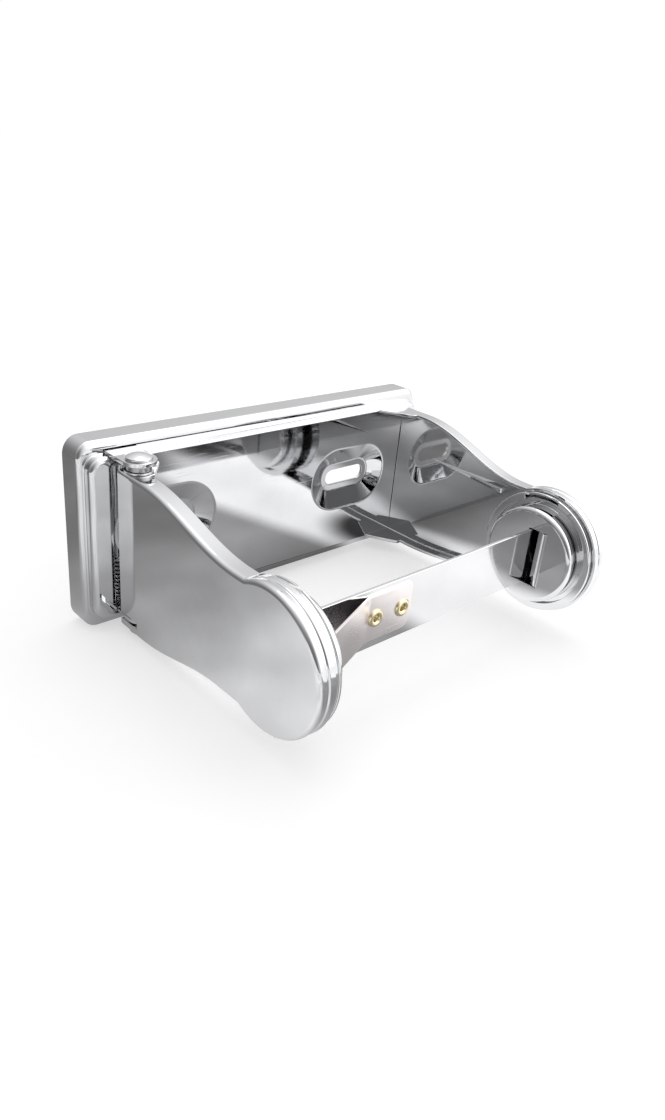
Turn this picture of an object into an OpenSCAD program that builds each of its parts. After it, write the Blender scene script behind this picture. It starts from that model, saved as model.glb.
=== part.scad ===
// Wall toilet roll holder of pressed, chromed steel, with a left arm that swings out on a hinge pin.
// Millimetres. X runs to the right, Z up, and the roll hangs towards -Y.
// The origin lies midway between the two wall slots, on the front of the floors of their dishes.

/* [Back plate] */
// Width of the back plate
plate_w = 152.4; // [150:0.2:166]
// Height of the back plate
plate_h = 65.4; // [64:0.2:74]
// How far the middle of the plate lies below the wall slots
plate_drop = 2.0; // [0:0.1:3]
// Sheet that the back plate is pressed from
plate_sheet = 1.0; // [0.8:0.05:1.2]
// Depth of the outer wall, from the wall to the front of the border
rim_depth = 9.5; // [8:0.1:14]
// Step from the border up to the raised panel
panel_rise = 3.9; // [3.2:0.1:5]
// Width of the border at the two ends
border_side = 1.8; // [1.6:0.1:3]
// Width of the border along the top and the bottom
border_edge = 3.9; // [3:0.1:4.4]
// Width that the step takes up at the two ends
step_side = 2.3; // [1.5:0.1:3]
// Width that the step takes up along the top and the bottom
step_edge = 1.9; // [1.2:0.1:2.2]
// Corner radius of the outer wall
plate_corner = 6.0; // [4:0.5:9]
// Corner radius of the raised panel
panel_corner = 5.0; // [3:0.5:8]
// Radius between the outer wall and the border
rim_fillet = 1.4; // [0.8:0.1:1.5]

/* [Wall slots] */
// From the left end of the raised panel to the left dish
left_dish_margin = 6.4; // [4:0.1:12]
// From the right dish to the free edge of the right arm's flange
right_dish_margin = 3.2; // [2.4:0.1:8]
// Length of a wall slot, end to end
slot_l = 19.6; // [12:0.1:22]
// Width of a wall slot
slot_w = 6.0; // [4:0.1:8]
// Length of a dish at the panel
dish_l = 38.7; // [34:0.1:40]
// Height of a dish at the panel
dish_h = 25.0; // [20:0.1:28]
// Height of the flat floor of a dish
dish_floor_h = 11.1; // [9:0.1:13]
// Depth of a dish below the panel
dish_depth = 3.0; // [2:0.1:3.6]

/* [Arms] */
// From the end of the plate to the outside of the arm there
arm_inset = 10.0; // [8:0.1:12]
// Sheet that the arms are pressed from
arm_sheet = 1.2; // [1:0.05:1.3]
// Depth of the flange that runs round an arm
flange_d = 5.9; // [5:0.1:6.4]
// Outside radius of the fold between web and flange
fold_r = 2.0; // [1.6:0.1:2.6]
// From the panel to the axis of the roll
arm_reach = 77.4; // [72:0.2:90]
// How far the axis of the roll lies below the middle of the plate
hub_drop = 4.4; // [2:0.1:7]
// How far the upper edge of the neck lies below the top of the round end
neck_step = 2.3; // [1.9:0.1:4.7]
// How far the lower edge of the neck lies above the bottom of the round end
belly_step = 2.5; // [1.9:0.1:4.7]
// How much higher the right arm stands at the plate than the left one
arm_rise = 2.4; // [0:0.1:2.6]
// Depth of the groove round the end of an arm
groove_depth = 0.5; // [0.2:0.05:0.6]

/* [Hubs] */
// From the outside of an arm to the free face of its collar
collar_stand = 8.6; // [8:0.1:9]
// How far a collar's brim stands out past the round end of the arm
brim_over = 0.3; // [0.1:0.05:1.5]
// Gap between a hub and the opening in its collar
opening_gap = 1.7; // [1.2:0.1:2]
// Sheet of the collars and hubs
hub_sheet = 1.0; // [0.8:0.05:1.1]
// From the outside of an arm to the disc that faces the roll
hub_stand = 13.6; // [13:0.1:15]
// Radius of a hub where the roll's core sits
hub_r = 17.5; // [16:0.1:18]
// Width of the flange that holds a hub behind its collar
hub_flange = 2.8; // [2.4:0.1:4]
// Radius of the rounded rim of a hub
hub_fillet = 1.6; // [1:0.1:2]

/* [Bar] */
// Height of the flat bar
bar_h = 20.4; // [16:0.1:22]
// Thickness of the flat bar
bar_t = 1.2; // [1:0.05:1.6]
// How far the bar's free end reaches past the right disc
bar_reach = 2.4; // [1.6:0.1:2.6]
// Length of the bracket part that is riveted to the bar
bracket_l = 19.0; // [17:0.2:24]
// Height of the bracket
bracket_h = 15.4; // [12:0.1:16]
// Sheet of the bracket
bracket_t = 0.8; // [0.6:0.05:1]
// Angle at which the bracket's leg leaves the bar
bracket_angle = 22; // [16:1:26]

/* [Hinge] */
// Gap that the rear edge of the left arm keeps to the panel as the arm swings
swing_gap = 0.54; // [0.4:0.02:2]
// Distance from the hinge pin to the rear edge of the left arm
pin_edge = 4.8; // [4.4:0.1:5]
// Radius of the hinge pin
pin_r = 2.0; // [1.6:0.05:2.2]
// Radius of the pin's head
head_r = 4.35; // [3.8:0.05:4.8]
// How far each ear of the hinge bracket stands in from the plate's edge, before the lift
ear_inset = 4.5; // [3.8:0.1:6]
// How far the middle of the ears lies above the middle of the plate
ear_lift = 1.3; // [0:0.1:1.6]
// Thickness of the hinge bracket
ear_t = 1.3; // [1:0.05:1.5]
// Gap between the upper ear and the left arm
upper_gap = 2.9; // [2.4:0.1:3.2]
// Gap between the lower ear and the left arm
lower_gap = 2.3; // [1.6:0.1:2.6]
// Wire of the hinge spring
wire_d = 1.0; // [0.7:0.05:1.1]
// Turns of the hinge spring
spring_turns = 10; // [4:1:16]

/* [Hidden] */
$fn = 96;

// Clearances, overruns and resolution
cut_over = 2.0;
axial_play = 0.1;
running_play = 0.3;
slit_play = 0.15;
seat_play = 0.05;
press_play = 0.1;
relief_play = 0.5;
corner_steps = 7;
fold_steps = 4;
step_steps = 6;
blend_steps = 8;
fillet_steps = 3;
end_steps = 34;
groove_steps = 4;
brim_steps = 6;
lip_steps = 3;
dome_steps = 5;
rivet_steps = 6;
leg_steps = 3;
rings_per_turn = 8;
tube_sides = 6;

// Planes of the back plate
plate_z = -plate_drop;
panel_y = -dish_depth;
border_y = panel_y + panel_rise;
wall_y = border_y + rim_depth;
panel_back = panel_y + plate_sheet;
border_back = border_y + plate_sheet;
half_w = plate_w / 2;
half_h = plate_h / 2;
panel_end = half_w - border_side - step_side;
foot_corner = (plate_corner + panel_corner) / 2;

// Dishes: one slope all round, from the rim to the flat floor
dish_rim_r = dish_h / 2;
dish_floor_r = dish_floor_h / 2;
dish_run = dish_l - dish_h;
dish_slope = atan2(dish_depth, dish_rim_r - dish_floor_r);
dish_lip = 3.0;
dish_toe = 3.0;

// Arms and hubs, written for the right side and mirrored for the left
arm_span = plate_w - 2 * arm_inset;
arm_x = arm_span / 2;
web_x = arm_x - arm_sheet;
edge_x = arm_x - flange_d;
hub_y = panel_y - arm_reach;
hub_z = plate_z - hub_drop;
collar_x = arm_x - collar_stand;
disc_x = arm_x - hub_stand;
slot_places = [dish_l / 2 + left_dish_margin - panel_end, edge_x - right_dish_margin - dish_l / 2];
plate_x = -(slot_places[0] + slot_places[1]) / 2;
neck_fillet = 2.4;
neck_flat = 3.0;
belly_flat = 9.0;
flat_run = 15.0;
rear_over = 6.0;
groove_x = arm_x - fold_r - 0.5;
groove_w = 1.6;
groove_fade = 4;
gusset_tip = 9.2;
gusset_notch = 1.9;
gusset_run = 12.0;
gusset_step = 0.3;

// The hub's flange turns behind the collar's brim, inside its skirt, and the skirt fits the round end of the arm
skirt_t = 0.8;
skirt_in = 1.6;
flange_r = hub_r + hub_flange;
skirt_r = flange_r + running_play + skirt_t;
end_r = skirt_r + press_play + arm_sheet;
neck_up = end_r - neck_step;
neck_down = end_r - belly_step;
collar_r = end_r + brim_over;
opening_r = hub_r + opening_gap;
skirt_end = edge_x + skirt_in - collar_x;
notch_w = 3.4;
notch_depth = 2.0;
notch_angle = 66;
flange_back = collar_x + 2 * hub_sheet + running_play;
washer_t = 0.6;
washer_bore = 9.0;
washer_edge = 0.9;
washer_rim = flange_r - washer_edge;

// Hinge: the spring clears the web, and the rear edge of the arm clears the panel
spring_play = 0.4;
pin_inset = arm_sheet + running_play + wire_d + spring_play + pin_r;
pin_x = -(arm_x - pin_inset);
pin_y = panel_y - norm([pin_inset, pin_edge]) - swing_gap;
hinge_rear = pin_y + pin_edge;
ear_span = plate_h - 2 * ear_inset;
ear_top = plate_z + ear_lift + ear_span / 2;
ear_low = ear_top - ear_span;
ear_r = 5.6;
low_ear_r = 4.6;
arm_top = ear_top - ear_t - upper_gap;
arm_low = ear_low - lower_gap - arm_sheet;
strip_low = plate_z - half_h + plate_sheet + rim_fillet;
strip_top = plate_z + half_h - plate_sheet - rim_fillet;
pin_play = 0.08;
head_t = 1.9;
head_edge = 0.9;
tail_r = 3.1;
tail_t = 1.0;
tail_washer_r = 3.9;
tail_washer_t = 0.6;
sleeve_r = 4.0;
low_washer_r = 3.0;
thin_washer_r = 4.6;
thin_washer_t = 0.6;
coil_gap = 0.46;
spring_leg = 13.0;
panel_leg = 5.4;

// Foot that holds the right arm behind the panel
foot_z = plate_z;
foot_l = 38.0;
foot_w = 7.4;
foot_lap = 1.0;
foot_set = 0.05;

// Slot in the right disc, wide towards the front so that the bar can swing out
slot_rear = 1.0;
slot_front = 6.2;
slot_half = bar_h / 2 + running_play;
slot_lip = 1.4;
lip_set = 0.3;

// Bar, bracket and rivets
bar_front = hub_y - bar_t / 2;
bar_foot = 5.0;
bracket_end = -9.5;
bracket_top = 8.2;
bracket_corner = 3.5;
leg_over = 1.4;
rivet_z = hub_z + bracket_top - bracket_h / 2;
rivet_r = 3.0;
rivet_shank = 1.9;
rivet_bore = 1.1;
rivet_tail = 2.6;
rivet_head = 0.7;
rivet_pitch = 11.4;
rivet_margin = 4.1;

function unit(v) = v / norm(v);
function arc_points(c, r, a0, a1, n) =
    [for (i = [0:n]) let (a = a0 + (a1 - a0) * i / n) [c[0] + r * cos(a), c[1] + r * sin(a)]];
// Smooth run from one height to another, in even steps along Y
function blend_points(y0, z0, y1, z1, n) =
    [for (i = [0:n]) let (u = i / n) [y0 + (y1 - y0) * u, z0 + (z1 - z0) * (1 - cos(180 * u)) / 2]];
// Closed counter-clockwise path moved inwards by its own distance at each point
function inset_path(path, d) = let (n = len(path))
    [for (i = [0:n - 1])
        let (u = unit(path[i] - path[(i + n - 1) % n]),
             v = unit(path[(i + 1) % n] - path[i]),
             m = unit([-u[1] - v[1], u[0] + v[0]]))
        path[i] + m * d[i] / (m * [-u[1], u[0]])];

// Triangles across a flat ring, which join the points of its first half to those of its second half
function cap_faces(n) =
    [for (i = [0:ceil(n / 2) - 2])
        let (a = i, b = i + 1, c = n - 2 - i, d = n - 1 - i)
        each b < c ? [[a, b, d], [b, c, d]] : [[a, b, d]]];
// Closed solid over rings of equally many points, with a flat cap at both ends
module skin(rings) {
    n = len(rings[0]);
    last = (len(rings) - 1) * n;
    polyhedron(
        points = [for (ring = rings) for (p = ring) p],
        faces = concat(
            [for (f = cap_faces(n)) reversed(f)],
            [for (k = [0:len(rings) - 2]) for (i = [0:n - 1])
                let (a = k * n + i, b = k * n + (i + 1) % n)
                each [[a, b, a + n], [b, b + n, a + n]]],
            [for (f = cap_faces(n)) [for (i = f) last + i]]));
}

module mirrored_left() {
    mirror([1, 0, 0]) children();
}

// Every piece is drawn about the middle of the plate and then moved, to bring the origin between the slots
module placed() {
    translate([plate_x, 0, 0]) children();
}

// Turns a revolved shape so that it stands on the hub axis, its own Z running outwards along X
module on_hub_axis() {
    translate([0, hub_y, hub_z]) rotate([0, 90, 0]) children();
}

// Rounded rectangle of the back plate at one depth
function plate_ring(in_side, in_edge, r, y) =
    [for (k = [0:3]) for (i = [0:corner_steps])
        let (a = 90 * k + 90 * i / corner_steps,
             cx = (k == 0 || k == 3 ? 1 : -1) * (half_w - in_side - r),
             cz = (k < 2 ? 1 : -1) * (half_h - in_edge - r))
        [cx + r * cos(a), y, plate_z + cz + r * sin(a)]];
// Rings of the outer skin, from the raised panel back to the wall; the inner skin is moved in by one sheet
function plate_rings(in) = concat(
    [for (i = [step_steps:-1:0]) let (u = i / step_steps)
        plate_ring(border_side + step_side * u + in, border_edge + step_edge * u + in,
            foot_corner + (panel_corner - foot_corner) * u - in,
            border_y - panel_rise * (1 - cos(180 * u)) / 2 + in)],
    [for (i = [0:fold_steps]) let (a = 90 * i / fold_steps, off = rim_fillet * (1 - sin(a)))
        plate_ring(off + in, off + in, plate_corner - off - in,
            border_y + rim_fillet * (1 - cos(a)) + in)],
    [plate_ring(in, in, plate_corner - in, wall_y)]);
function reversed(list) = [for (i = [len(list) - 1:-1:0]) list[i]];

// Half profile of the front of a dish: [distance from its middle line, depth below the panel]
function dish_front() =
    let (s = dish_slope, lip = dish_lip * tan(s / 2), toe = dish_toe * tan(s / 2))
    concat(
        [for (i = [1:lip_steps]) let (a = s * i / lip_steps)
            [dish_rim_r + lip - dish_lip * sin(a), dish_lip * (1 - cos(a))]],
        [for (i = [lip_steps:-1:0]) let (a = s * i / lip_steps)
            [dish_floor_r - toe + dish_toe * sin(a), dish_depth - dish_toe * (1 - cos(a))]]);
// The same for the back, one sheet further in, starting inside the panel's sheet
function dish_back() =
    let (grow = plate_sheet * tan(dish_slope / 2), mid = plate_sheet / 2)
    [[dish_rim_r + grow, mid], [dish_rim_r + grow, plate_sheet],
     [dish_floor_r + grow, dish_depth + plate_sheet]];

// Solid under a half profile, with two round ends and a straight middle along X
module drawn_dish(profile, top) {
    last = profile[len(profile) - 1];
    side = concat([[profile[0][0], top]], profile);
    for (end = [-1, 1]) translate([end * dish_run / 2, panel_y, 0]) rotate([-90, 0, 0])
        rotate_extrude() polygon(concat([[0, top]], side, [[0, last[1]]]));
    translate([-dish_run / 2, panel_y, 0]) rotate([90, 0, 90]) linear_extrude(dish_run)
        polygon(concat([for (p = side) [p[1], p[0]]], [for (p = reversed(side)) [p[1], -p[0]]]));
}

// Obround hole through Y
module slot_cut(l, w) {
    run = (l - w) / 2;
    for (end = [-1, 1]) translate([end * run, -cut_over, 0]) rotate([-90, 0, 0])
        cylinder(d = w, h = plate_sheet + 2 * cut_over);
    translate([-run, -cut_over, -w / 2]) cube([2 * run, plate_sheet + 2 * cut_over, w]);
}

// Block between two corners
module block(low, high) {
    translate(low) cube(high - low);
}

module back_plate() {
    color("gainsboro") difference() {
        union() {
            skin(concat(plate_rings(0), reversed(plate_rings(plate_sheet))));
            for (x = slot_places) translate([x, 0, 0]) drawn_dish(dish_back(), plate_sheet / 2);
        }
        for (x = slot_places) translate([x, 0, 0]) {
            drawn_dish(dish_front(), -cut_over);
            slot_cut(slot_l, slot_w);
        }
        // Slits for the ears of the hinge bracket
        block([pin_x - ear_r - slit_play, panel_y - cut_over, ear_top - ear_t - slit_play],
            [pin_x + ear_r + slit_play, border_back + cut_over, ear_top + slit_play]);
        block([pin_x - low_ear_r - slit_play, panel_y - cut_over, ear_low - slit_play],
            [pin_x + low_ear_r + slit_play, border_back + cut_over, ear_low + ear_t + slit_play]);
        // Slit for the foot of the right arm
        block([web_x - slit_play, panel_y - cut_over, foot_z - foot_l / 2 - slit_play],
            [arm_x + slit_play, panel_back + cut_over, foot_z + foot_l / 2 + slit_play]);
    }
}

// Ear that reaches from the strip to the hinge pin
module ear(z, r) {
    translate([pin_x, pin_y, z]) {
        cylinder(r = r, h = ear_t);
        translate([-r, 0, 0]) cube([2 * r, border_back + ear_t - pin_y, ear_t]);
    }
}

// Strip behind the border with two ears bent forwards through the plate
module hinge_bracket() {
    color("silver") difference() {
        union() {
            block([pin_x - ear_r, border_back, strip_low], [pin_x + ear_r, border_back + ear_t, strip_top]);
            ear(ear_top - ear_t, ear_r);
            ear(ear_low, low_ear_r);
        }
        translate([pin_x, pin_y, ear_low - cut_over])
            cylinder(r = pin_r + pin_play, h = ear_span + 2 * cut_over);
    }
}

// How far the gusset tab stands out past the flange's free edge at one place
function tab_depth(y, rear) =
    let (front = panel_y - gusset_run)
    gusset_notch + (gusset_tip - gusset_notch) * (y - front) / (rear - front);
// Points along a flat run behind the neck, from its rear end to the front, with the tab's depth
function flat_points(z, rear) =
    let (end = panel_y + rear_over, front = panel_y - gusset_run)
    [[end, z, 0, tab_depth(end, rear)], [front, z, 0, gusset_notch], [front - gusset_step, z, 0, 0]];

// Outline of an arm seen from the right, counter-clockwise from its upper rear corner: each point
// holds Y, Z, the share of the groove that it carries, and the depth of the gusset tab there
function arm_path(rise, rear) =
    let (up = hub_z + neck_up, down = hub_z - neck_down, q = neck_fillet,
         top_c = [hub_y + sqrt(pow(end_r + q, 2) - pow(neck_up + q, 2)), up + q],
         low_c = [hub_y + sqrt(pow(end_r + q, 2) - pow(neck_down + q, 2)), down - q],
         top_a = atan2(top_c[1] - hub_z, top_c[0] - hub_y),
         low_a = atan2(low_c[1] - hub_z, low_c[0] - hub_y),
         flat_y = panel_y - flat_run)
    concat(
        flat_points(arm_top + rise, rear),
        [for (p = blend_points(flat_y, arm_top + rise, top_c[0] + neck_flat, up, blend_steps)) [p[0], p[1], 0, 0]],
        [for (p = arc_points(top_c, q, 270, 180 + top_a, fillet_steps)) [p[0], p[1], 0, 0]],
        [for (i = [1:end_steps - 1])
            let (a = top_a + (360 + low_a - top_a) * i / end_steps, edge = min(i, end_steps - i))
            [hub_y + end_r * cos(a), hub_z + end_r * sin(a), min(1, edge / groove_fade), 0]],
        [for (p = arc_points(low_c, q, 180 + low_a, 90, fillet_steps)) [p[0], p[1], 0, 0]],
        [for (p = blend_points(low_c[0] + belly_flat, down, flat_y, arm_low + rise, blend_steps)) [p[0], p[1], 0, 0]],
        reversed(flat_points(arm_low + rise, rear)));

// One ring of an arm: the outline moved inwards, with the groove and the tabs at full or no depth
function arm_ring(path, inset, groove, tabs, x) =
    let (flat = [for (p = path) [p[0], p[1]]],
         moved = inset_path(flat, [for (p = path) inset + groove * p[2]]))
    [for (i = [0:len(path) - 1]) [x - tabs * path[i][3], moved[i][0], moved[i][1]]];

// Rings from the face of the web to the free edge of the flange, outside or one sheet further in
function arm_rings(path, in) =
    let (r = fold_r - in)
    concat(
        [for (i = [0:fold_steps]) let (a = 90 * i / fold_steps)
            arm_ring(path, in + r * (1 - sin(a)), 0, 0, arm_x - in - r * (1 - cos(a)))],
        [for (i = [0:groove_steps])
            arm_ring(path, in, groove_depth * (1 - cos(360 * i / groove_steps)) / 2, 0,
                groove_x - groove_w * i / groove_steps)],
        [arm_ring(path, in, 0, 1, edge_x)]);

// Pressed arm with its flange and gusset tabs, cut off at the rear
module arm_shell(rise, rear) {
    path = arm_path(rise, rear);
    difference() {
        skin(concat(arm_rings(path, 0), reversed(arm_rings(path, arm_sheet))));
        block([edge_x - 2 * gusset_tip, rear, arm_low - cut_over],
            [arm_x + cut_over, panel_y + rear_over + cut_over, arm_top + rise + cut_over]);
    }
}

module right_arm() {
    color("gainsboro") {
        arm_shell(arm_rise, panel_y);
        block([web_x + foot_set, panel_y - foot_lap, foot_z - foot_l / 2],
            [arm_x - foot_set, panel_back + arm_sheet, foot_z + foot_l / 2]);
        block([arm_x - foot_w, panel_back, foot_z - foot_l / 2],
            [arm_x - foot_set, panel_back + arm_sheet, foot_z + foot_l / 2]);
    }
}

module left_arm() {
    color("gainsboro") mirrored_left() difference() {
        arm_shell(0, hinge_rear);
        translate([-pin_x, pin_y, arm_low - cut_over])
            cylinder(r = pin_r + pin_play, h = arm_top - arm_low + 2 * cut_over);
        // Relief in the web, so that the arm swings past the lower ear
        block([web_x - relief_play, pin_y - low_ear_r - relief_play, ear_low - relief_play],
            [arm_x + cut_over, hinge_rear + cut_over, ear_low + ear_t + relief_play]);
    }
}

// Brim with a rounded edge and a skirt that is pressed into the round end of an arm
module collar() {
    r = hub_sheet / 2;
    difference() {
        translate([collar_x, 0, 0]) on_hub_axis() rotate_extrude() polygon(concat(
            [[opening_r, 0]],
            arc_points([collar_r - r, r], r, -90, 90, brim_steps),
            [[skirt_r, hub_sheet], [skirt_r, skirt_end], [skirt_r - skirt_t, skirt_end],
             [skirt_r - skirt_t, hub_sheet], [opening_r, hub_sheet]]));
        translate([collar_x, hub_y, hub_z]) rotate([notch_angle, 0, 0])
            block([-cut_over, opening_r - cut_over, -notch_w / 2],
                [hub_sheet + cut_over, opening_r + notch_depth, notch_w / 2]);
    }
}

module right_collar() {
    color("silver") collar();
}

module left_collar() {
    color("silver") mirrored_left() collar();
}

// Drawn cup whose disc faces the roll and whose flange turns behind the collar's brim
module hub_cup() {
    back = flange_back - disc_x;
    translate([disc_x, 0, 0]) on_hub_axis() rotate_extrude() polygon(concat(
        [[0, 0]],
        arc_points([hub_r - hub_fillet, hub_fillet], hub_fillet, -90, 0, fold_steps),
        [[hub_r, back - hub_sheet], [flange_r, back - hub_sheet], [flange_r, back], [hub_r - hub_sheet, back]],
        arc_points([hub_r - hub_fillet, hub_fillet], hub_fillet - hub_sheet, 0, -90, fold_steps),
        [[0, hub_sheet]]));
}

module right_hub() {
    color("silver") {
        difference() {
            hub_cup();
            block([disc_x - cut_over, hub_y - slot_front, hub_z - slot_half],
                [disc_x + hub_sheet + cut_over, hub_y + slot_rear, hub_z + slot_half]);
        }
        // Lip bent inwards along the front of the slot
        block([disc_x + lip_set, hub_y - slot_front - hub_sheet, hub_z - slot_half],
            [disc_x + hub_sheet + slot_lip, hub_y - slot_front, hub_z + slot_half]);
    }
}

module left_hub() {
    color("silver") difference() {
        mirrored_left() hub_cup();
        block([-disc_x - hub_sheet - cut_over, hub_y - bar_t / 2 - seat_play, hub_z - bar_h / 2 - seat_play],
            [-disc_x + cut_over, hub_y + bar_t / 2 + seat_play, hub_z + bar_h / 2 + seat_play]);
        intersection() {
            bracket_form(seat_play);
            block([-disc_x - hub_sheet - cut_over, hub_y - hub_r, hub_z - hub_r],
                [-disc_x + cut_over, hub_y, hub_z + hub_r]);
        }
    }
}

// Dished spring washer between the hub's flange and the web
module brake_washer() {
    high = web_x - flange_back - 2 * axial_play;
    translate([flange_back + axial_play, 0, 0]) on_hub_axis() rotate_extrude() polygon([
        [washer_rim - washer_t, 0], [washer_rim, 0], [washer_rim, washer_t],
        [washer_bore + washer_t, high], [washer_bore, high], [washer_bore, high - washer_t]]);
}

module right_brake_washer() {
    color("darkgray") brake_washer();
}

module left_brake_washer() {
    color("darkgray") mirrored_left() brake_washer();
}

// Axis of a rivet, its own Z running from the front of the bracket to the back of the bar
module on_rivets() {
    for (i = [0:1]) translate([bracket_end - rivet_margin - i * rivet_pitch, bar_front - bracket_t, rivet_z])
        rotate([-90, 0, 0]) children();
}

module spindle_bar() {
    foot_x = -disc_x - hub_sheet - bar_t;
    color("whitesmoke") difference() {
        union() {
            block([foot_x, bar_front, hub_z - bar_h / 2], [disc_x + bar_reach, bar_front + bar_t, hub_z + bar_h / 2]);
            block([foot_x, bar_front - bar_foot, hub_z - bar_h / 2], [foot_x + bar_t, bar_front + bar_t, hub_z + bar_h / 2]);
        }
        on_rivets() translate([0, 0, -cut_over])
            cylinder(r = rivet_shank + seat_play, h = bracket_t + bar_t + 2 * cut_over);
    }
}

// Bracket in plan: a plate along the bar, then a leg that runs on through the left disc
module bracket_form(play) {
    fold_x = bracket_end - bracket_l;
    far_x = -disc_x - hub_sheet - leg_over;
    s = sin(bracket_angle);
    c = cos(bracket_angle);
    front = bracket_t + play;
    translate([0, 0, hub_z + bracket_top - bracket_h - play]) linear_extrude(bracket_h + 2 * play)
        polygon([
            [bracket_end, bar_front + play],
            [fold_x - play * tan(bracket_angle / 2), bar_front + play],
            [far_x, bar_front + play / c - (fold_x - far_x) * s / c],
            [far_x, bar_front - front / c - (fold_x - far_x) * s / c],
            [fold_x + front * tan(bracket_angle / 2), bar_front - front],
            [bracket_end, bar_front - front]]);
}

module bar_bracket() {
    corner = [bracket_end - bracket_corner, bar_front - bracket_t, hub_z + bracket_top - bracket_h + bracket_corner];
    color("thistle") difference() {
        bracket_form(0);
        difference() {
            block(corner - [0, cut_over, bracket_corner + cut_over],
                corner + [bracket_corner + cut_over, bracket_t + cut_over / 2, 0]);
            translate(corner - [0, 2 * cut_over, 0]) rotate([-90, 0, 0])
                cylinder(r = bracket_corner, h = bracket_t + 4 * cut_over);
        }
        on_rivets() translate([0, 0, -cut_over])
            cylinder(r = rivet_shank + seat_play, h = bracket_t + bar_t + 2 * cut_over);
    }
}

// Hollow rivets with a rolled head at the front and a smaller one behind the bar
module bar_rivets() {
    grip = bracket_t + bar_t;
    mid = (rivet_r + rivet_bore) / 2;
    half = (rivet_r - rivet_bore) / 2;
    color("goldenrod") on_rivets() rotate_extrude() polygon(concat(
        [for (i = [0:rivet_steps]) let (a = 180 * i / rivet_steps)
            [mid - half * cos(a), -rivet_head * sin(a)]],
        [[rivet_shank, 0], [rivet_shank, grip], [rivet_tail, grip], [rivet_tail, grip + rivet_head / 2],
         [rivet_shank, grip + rivet_head], [rivet_bore, grip + rivet_head]]));
}

module on_pin(z) {
    translate([pin_x, pin_y, z]) children();
}

// Ring round the pin
module pin_ring(z, r, h) {
    on_pin(z) difference() {
        cylinder(r = r, h = h);
        translate([0, 0, -cut_over]) cylinder(r = pin_r + pin_play, h = h + 2 * cut_over);
    }
}

// Pin with a domed head on the upper ear and a peened tail under the arm
module hinge_pin() {
    tail = arm_low - tail_washer_t - 2 * axial_play - tail_t;
    color("silver") on_pin(0) rotate_extrude() polygon(concat(
        [[0, tail]],
        arc_points([tail_r - tail_t / 2, tail + tail_t / 2], tail_t / 2, -90, 90, brim_steps),
        [[pin_r, tail + tail_t], [pin_r, ear_top], [head_r, ear_top], [head_r, ear_top + head_edge]],
        [for (i = [1:dome_steps]) let (u = 1 - i / dome_steps)
            [head_r * u, ear_top + head_edge + (head_t - head_edge) * (1 - u * u)]]));
}

module hinge_sleeve() {
    low = arm_top + thin_washer_t + 2 * axial_play;
    color("dimgray") pin_ring(low, sleeve_r, ear_top - ear_t - axial_play - low);
}

module hinge_washer_upper() {
    color("silver") pin_ring(arm_top + axial_play, thin_washer_r, thin_washer_t);
}

module hinge_washer_lower() {
    low = arm_low + arm_sheet + axial_play;
    color("dimgray") pin_ring(low, low_washer_r, ear_low - axial_play - low);
}

module pin_tail_washer() {
    color("silver") pin_ring(arm_low - axial_play - tail_washer_t, tail_washer_r, tail_washer_t);
}

// Route of the hinge spring: a leg at the panel, the coil round the pin, and a leg along the web
spring_r = pin_r + spring_play + wire_d / 2;
spring_low = ear_low + ear_t + running_play + wire_d / 2;
spring_pitch = wire_d + coil_gap;
spring_count = spring_turns * rings_per_turn;
spring_route = concat(
    [for (i = [0:leg_steps - 1]) [-spring_r, panel_leg * (1 - i / leg_steps), spring_low]],
    [for (i = [0:spring_count]) let (a = 180 + 360 * i / rings_per_turn)
        [spring_r * cos(a), spring_r * sin(a), spring_low + spring_pitch * i / rings_per_turn]],
    [for (i = [1:leg_steps])
        [-spring_r, -spring_leg * i / leg_steps, spring_low + spring_pitch * spring_turns]]);
function route_ring(route, i, r) =
    let (last = len(route) - 1, t = unit(route[min(i + 1, last)] - route[max(i - 1, 0)]),
         side = unit(cross(t, [0, 0, 1])), up = cross(side, t))
    [for (k = [0:tube_sides - 1]) let (a = 360 * k / tube_sides) route[i] + r * (side * cos(a) + up * sin(a))];
// Least distance between points of the coil that lie at least half a turn apart, less the wire
spring_gap = min([for (i = [0:spring_count], k = [i + rings_per_turn / 2:1:spring_count])
    norm(spring_route[leg_steps + i] - spring_route[leg_steps + k])]) - wire_d;
echo(spring_gap = spring_gap);

module hinge_spring() {
    color("dimgray") on_pin(0)
        skin([for (i = [0:len(spring_route) - 1]) route_ring(spring_route, i, wire_d / 2)]);
}

placed() back_plate();
placed() hinge_bracket();
placed() right_arm();
placed() right_collar();
placed() right_hub();
placed() right_brake_washer();
placed() left_arm();
placed() left_collar();
placed() left_hub();
placed() left_brake_washer();
placed() spindle_bar();
placed() bar_bracket();
placed() bar_rivets();
placed() hinge_pin();
placed() hinge_sleeve();
placed() hinge_washer_upper();
placed() hinge_washer_lower();
placed() pin_tail_washer();
placed() hinge_spring();
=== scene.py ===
import bpy, bmesh, math
from mathutils import Matrix, Vector


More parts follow.
